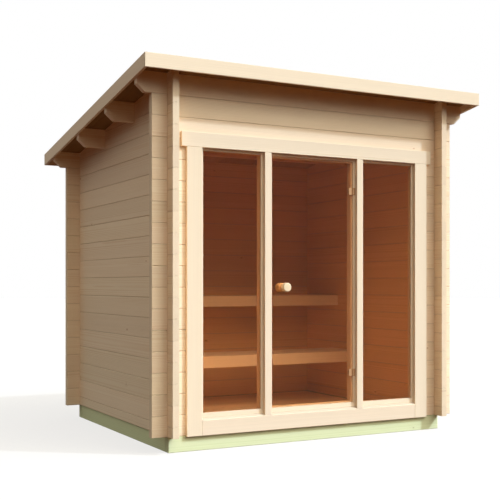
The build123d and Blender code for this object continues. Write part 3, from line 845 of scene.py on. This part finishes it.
def turned(bm, outline, steps, place):
    """Spin an outline of (out, along) round the Y axis, and put the result in its place."""
    others = set(bm.verts)
    line = [bm.verts.new((out, along, 0)) for out, along in outline]
    edges = [bm.edges.new(pair) for pair in zip(line[:-1], line[1:])]
    bmesh.ops.spin(
        bm, geom=line + edges, cent=(0, 0, 0), axis=(0, 1, 0), angle=2 * math.pi, steps=steps,
        use_merge=True,
    )
    bmesh.ops.remove_doubles(bm, verts=[v for v in bm.verts if v not in others], dist=MERGE_WITHIN)
    bmesh.ops.transform(bm, matrix=place, verts=[v for v in bm.verts if v not in others])


def domed_head(radius, height):
    """Outline of a flat nail's or screw's head: a low dome with a thin upright rim."""
    return [(out * radius, along * height) for out, along in HEAD_SHAPE]


def make_metal(name, colour, smooth, rough):
    """Bare metal with faint rubbed marks, about 2 mm wide."""
    material, tree, surface = new_material(name)
    place = node(tree, "TexCoord")["Object"]
    marks = node(tree, "TexNoise", {"Vector": place, "Scale": 1 / RUB_MARK, "Detail": RUB_DETAIL})["Fac"]
    roughness = node(tree, "MapRange", {"Value": marks, "To Min": smooth, "To Max": rough})[0]
    bump = node(tree, "Bump", {"Strength": RUB_STRENGTH, "Distance": RUB_DEPTH, "Height": marks})[0]
    metal = node(
        tree, "BsdfPrincipled",
        {"Base Color": linear(colour), "Metallic": 1.0, "Roughness": roughness, "Normal": bump},
    )[0]
    tree.links.new(metal, surface)
    return material


# Zinc from a hot bath: pale grey and rather dull.
galvanised = make_metal("nail_steel_galvanised", "9A9C9C", 0.45, 0.6)
print("metal:", galvanised.name)

# %% [markdown]
# ## Felt
# Felt is matted fibre soaked in bitumen and covered with crushed slate. Seen close up it is dark,
# dull and speckled. The speckle is drawn 3 mm wide, about twice the real grit. Each strip is a
# tenth thinner than the step up to the next, so that two strips never share a surface.

# %% Roofing felt
FELT_THICK = 3 * MM
FELT_LAP = 90 * MM
FELT_STRIPS = 3
FELT_STEP_RUN = 12 * MM
FELT_SQUEEZE = 0.9
GRIT = 3 * MM
GRIT_DEPTH = 1 * MM
GRIT_STRENGTH = 0.5
BITUMEN = "34373A"
SLATE = "7B7F80"
CLOUDS_PER_METRE = 2.5
CLOUD_DETAIL = 4.0
FELT_ROUGHNESS = 0.9


def make_felt_material():
    """Bitumen felt with a dusting of slate grit."""
    material, tree, surface = new_material("roofing_felt_slated")
    place = node(tree, "TexCoord")["Object"]
    grit = node(tree, "TexVoronoi", {"Vector": place, "Scale": 1 / GRIT})
    shade = node(tree, "SeparateColor", {0: grit["Color"]})["Red"]
    cloud = node(
        tree, "TexNoise", {"Vector": place, "Scale": CLOUDS_PER_METRE, "Detail": CLOUD_DETAIL},
    )["Fac"]
    share = node(tree, "Math", {0: shade, 1: cloud}, operation="MULTIPLY")[0]
    dark, pale = linear(BITUMEN), linear(SLATE)
    colour = node(tree, "Mix", {0: share, 6: dark, 7: pale}, data_type="RGBA")[2]
    bump = node(tree, "Bump", {"Strength": GRIT_STRENGTH, "Distance": GRIT_DEPTH, "Height": shade})[0]
    felt = node(
        tree, "BsdfPrincipled",
        {"Base Color": colour, "Roughness": FELT_ROUGHNESS, "Normal": bump},
    )[0]
    tree.links.new(felt, surface)
    return material


def make_felt():
    """Strips across the slope, each lapped over the next one down."""
    felt_low, felt_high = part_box("roof_felt")
    step = (felt_high.y - felt_low.y) / FELT_STRIPS
    bm = bmesh.new()
    for number in range(FELT_STRIPS):
        front = felt_low.y + number * step
        rear = front + step
        profile = [(front, 0), (rear, 0)]
        if number < FELT_STRIPS - 1:
            lap_end = rear + FELT_LAP
            profile = [(front, 0), (rear - FELT_STEP_RUN, 0), (rear, FELT_THICK), (lap_end, FELT_THICK)]
        line = [bm.verts.new((felt_low.x, y, z)) for y, z in profile]
        edges = [bm.edges.new(pair) for pair in zip(line[:-1], line[1:])]
        swept = bmesh.ops.extrude_edge_only(bm, edges=edges)["geom"]
        far = [v for v in swept if isinstance(v, bmesh.types.BMVert)]
        bmesh.ops.translate(bm, verts=far, vec=(felt_high.x - felt_low.x, 0, 0))
    bmesh.ops.recalc_face_normals(bm, faces=bm.faces)
    # Solidify builds away from the normals, so they are made to point down.
    up = sum(face.normal.z for face in bm.faces)
    if up > 0:
        bmesh.ops.reverse_faces(bm, faces=bm.faces)
    bmesh.ops.solidify(bm, geom=bm.faces[:], thickness=FELT_THICK * FELT_SQUEEZE)
    lay_on_slope(bm, felt_high.z - FELT_THICK)
    slated_felt = make_felt_material()
    return finished_piece(
        bm, "roofing_felt_strips", slated_felt, "cabin", ["roof_felt"],
    )


felt_piece = make_felt()
print("felt faces:", len(felt_piece.data.polygons))

# %% [markdown]
# Clout nails have wide flat heads, so that felt doesn't tear round them. They stand in rows 110 mm
# apart: along the front and rear edges, and just above the edge of every lap.

# %% Felt nails
NAIL_RADIUS = 5 * MM
NAIL_HEIGHT = 1.2 * MM
NAIL_SPACING = 110 * MM
NAIL_FROM_EDGE = 28 * MM
NAIL_FACETS = 12
NAIL_SEAT = 0.95


def nail_rows(felt_low, felt_high):
    """Each row as (place up or down the slope, layers of felt under the heads)."""
    step = (felt_high.y - felt_low.y) / FELT_STRIPS
    rows = [(felt_low.y + NAIL_FROM_EDGE, 1), (felt_high.y - NAIL_FROM_EDGE, 1)]
    for number in range(1, FELT_STRIPS):
        rows.append((felt_low.y + number * step + FELT_LAP - NAIL_FROM_EDGE, 2))
    return rows


def make_felt_nails():
    """Rows of nail heads on the flat felt, then laid on the slope with it."""
    felt_low, felt_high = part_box("roof_felt")
    per_row = int((felt_high.x - felt_low.x) / NAIL_SPACING)
    upright = Matrix.Rotation(math.radians(90), 4, "X")
    bm = bmesh.new()
    for y, layers in nail_rows(felt_low, felt_high):
        for number in range(per_row):
            x = (number - (per_row - 1) / 2) * NAIL_SPACING
            place = Matrix.Translation((x, y, layers * FELT_THICK * NAIL_SEAT)) @ upright
            turned(bm, domed_head(NAIL_RADIUS, NAIL_HEIGHT), NAIL_FACETS, place)
    bmesh.ops.recalc_face_normals(bm, faces=bm.faces)
    lay_on_slope(bm, felt_high.z - FELT_THICK)
    finished_piece(bm, "felt_nails", galvanised, "cabin")
    return per_row


print("nails in each row:", make_felt_nails())

# %% [markdown]
# ## Floor boards
# Tongue-and-groove boards run from side to side, with a narrow joint between them.

# %% Floor boards
FLOOR_BOARD = 95 * MM
FLOOR_GAP = 1.2 * MM
FLOOR_EASE = 1.5 * MM


def make_floor_boards():
    """Separate boards from the front to the rear."""
    low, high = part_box("floor_boards")
    bm = bmesh.new()
    strips = board_edges(low.y, high.y, FLOOR_BOARD, low.y + FLOOR_BOARD)
    for front, rear in strips:
        near = (low.x, front + FLOOR_GAP / 2, low.z)
        stretched_cube(bm, near, (high.x, rear - FLOOR_GAP / 2, high.z))
    ease_edges(bm, FLOOR_EASE)
    mark_boards(bm, "floor", outdoors=False)
    finished_piece(bm, "floor_planks", floor_spruce, "cabin", ["floor_boards"])
    return len(strips)


print("floor boards:", make_floor_boards())

# %% [markdown]
# ## Bronze glass
# Sauna doors are toughened glass, tinted bronze in the melt. Light is coloured once on its way in
# and once more on its way out, so the room behind looks deep red-brown. The shader is a clear
# dielectric with the tint as its base colour. Light that bounces about inside passes through a
# plain tinted film instead of the refracting pane, which gives the same colour with less grain.
# Real glass has an IOR of about 1.5. It is set lower here, so that the white all round the cabin
# is mirrored less and the room shows clearly.

# %% Glass
GLASS_TINT = "FFE0C2"
GLASS_FILM = "FFF3E5"
GLASS_IOR = 1.2


def make_glass():
    """Bronze float glass with polished faces."""
    material, tree, surface = new_material("glass_bronze_toughened")
    pane = node(
        tree, "BsdfPrincipled",
        {
            "Base Color": linear(GLASS_TINT), "Roughness": 0.0, "IOR": GLASS_IOR,
            "Transmission Weight": 1.0,
        },
    )[0]
    film = node(tree, "BsdfTransparent", {"Color": linear(GLASS_FILM)})[0]
    bounced = node(tree, "LightPath")["Is Diffuse Ray"]
    tree.links.new(node(tree, "MixShader", {0: bounced, 1: pane, 2: film})[0], surface)
    return material


bronze_glass = make_glass()
PANE_EASE = 0.8 * MM
PANES = (("window_pane_left", "cabin"), ("window_pane_right", "cabin"), ("door_glass", "door"))

for node_name, body in PANES:
    bm = copied_solid(node_name)
    ease_edges(bm, PANE_EASE)
    finished_piece(bm, node_name + "_polished", bronze_glass, body, [node_name])
print("panes:", len(PANES))

# %% [markdown]
# ## Door knobs
# A turned wooden knob doesn't get hot to the touch. It is a short barrel on a thinner neck, with a
# wide round at the back and a narrow one at the face.

# %% Turned knobs
KNOB_STEPS = 48
KNOB_NECK_RADIUS = 13 * MM
KNOB_NECK_LENGTH = 12 * MM
KNOB_BACK_ROUND = 12 * MM
KNOB_FACE_ROUND = 5 * MM
ROUND_POINTS = 6


def quarter_round(middle_out, middle_along, radius, start):
    """Points of a quarter circle, from start degrees, in (out from the axis, along the axis)."""
    angles = [math.radians(start + 90 * i / ROUND_POINTS) for i in range(ROUND_POINTS + 1)]
    return [(middle_out + radius * math.cos(a), middle_along + radius * math.sin(a)) for a in angles]


def make_knob(node_name, outward):
    """Spin the knob's outline round its axis, which runs straight out of the door."""
    low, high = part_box(node_name)
    middle = (low + high) / 2
    radius = (high.x - low.x) / 2
    length = high.y - low.y
    glass_side = high.y if outward < 0 else low.y
    back, face = KNOB_BACK_ROUND, KNOB_FACE_ROUND
    outline = [(0, 0), (KNOB_NECK_RADIUS, 0), (KNOB_NECK_RADIUS, KNOB_NECK_LENGTH)]
    outline += quarter_round(radius - back, KNOB_NECK_LENGTH + back, back, -90)
    outline += quarter_round(radius - face, length - face, face, 0)
    outline.append((0, length))
    place = Matrix.Translation((middle.x, glass_side, middle.z)) @ Matrix.Diagonal((1, outward, 1, 1))
    bm = bmesh.new()
    turned(bm, outline, KNOB_STEPS, place)
    bmesh.ops.recalc_face_normals(bm, faces=bm.faces)
    mark_boards(bm, node_name, outdoors=False)
    for facet in bm.faces:
        facet.smooth = True
    return finished_piece(bm, node_name + "_turned", knob_beech, "door", [node_name])


for node_name, outward in (("door_knob_outer", -1), ("door_knob_inner", 1)):
    knob = make_knob(node_name, outward)
    print(knob.name, "faces:", len(knob.data.polygons))

# %% [markdown]
# ## Hinges
# Two small bronze-coloured hinges carry the glass. Each has a narrow plate on the lining and a
# wider one that clamps the pane, and two button-headed screws hold each plate. A plate's face is
# 2.8 mm out from the lining or the glass behind it.

# %% Hinges
HINGE_EASE = 0.3 * MM
SCREW_RADIUS = 3.2 * MM
SCREW_HEIGHT = 1.4 * MM
SCREW_FROM_END = 11 * MM
SCREW_FACETS = 16
PLATE_FACE_OUT = 2.8 * MM
BRACKET_SCREW_IN = 6.5 * MM
LEAF_SCREW_IN = 13 * MM

# Bronze plating over brushed steel: warm, with a satin sheen.
hinge_bronze = make_metal("hinge_steel_bronzed", "C39A72", 0.32, 0.5)


def hinge_spans(node_name):
    """Low and high end of each hinge in a node."""
    bm = copied_solid(node_name)
    ends = set()
    for group in islands(bm):
        levels = [v.co.z for v in group]
        ends.add((round(min(levels), 4), round(max(levels), 4)))
    bm.free()
    return sorted(ends)


def make_hinge_screws(name, body, x, plate_front, spans):
    """Two screw heads on the face of each plate, at the same distance from its ends."""
    bm = bmesh.new()
    for low, high in spans:
        for z in (low + SCREW_FROM_END, high - SCREW_FROM_END):
            place = Matrix.Translation((x, plate_front, z)) @ Matrix.Diagonal((1, -1, 1, 1))
            turned(bm, domed_head(SCREW_RADIUS, SCREW_HEIGHT), SCREW_FACETS, place)
    bmesh.ops.recalc_face_normals(bm, faces=bm.faces)
    finished_piece(bm, name, hinge_bronze, body)


for node_name, body in (("hinge_brackets", "cabin"), ("door_hinges", "door")):
    bm = copied_solid(node_name)
    ease_edges(bm, HINGE_EASE, segments=1)
    finished_piece(bm, node_name + "_bronzed", hinge_bronze, body, [node_name])

spans = hinge_spans("hinge_brackets")
bracket_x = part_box("hinge_brackets")[1].x - BRACKET_SCREW_IN
bracket_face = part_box("door_lining")[0].y - PLATE_FACE_OUT
make_hinge_screws("bracket_screws", "cabin", bracket_x, bracket_face, spans)
leaf_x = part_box("door_hinges")[0].x + LEAF_SCREW_IN
leaf_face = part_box("door_glass")[0].y - PLATE_FACE_OUT
make_hinge_screws("door_hinge_screws", "door", leaf_x, leaf_face, spans)
print("hinges:", len(spans), "from", [round(low / MM) for low, high in spans], "mm up")

# %% [markdown]
# ## Nodes still shown
# The last line lists the imported nodes that are still shown.

# %% Nodes still shown
left_over = [name for name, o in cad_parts.items() if not o.hide_render]
print("packed nodes still shown:", left_over)
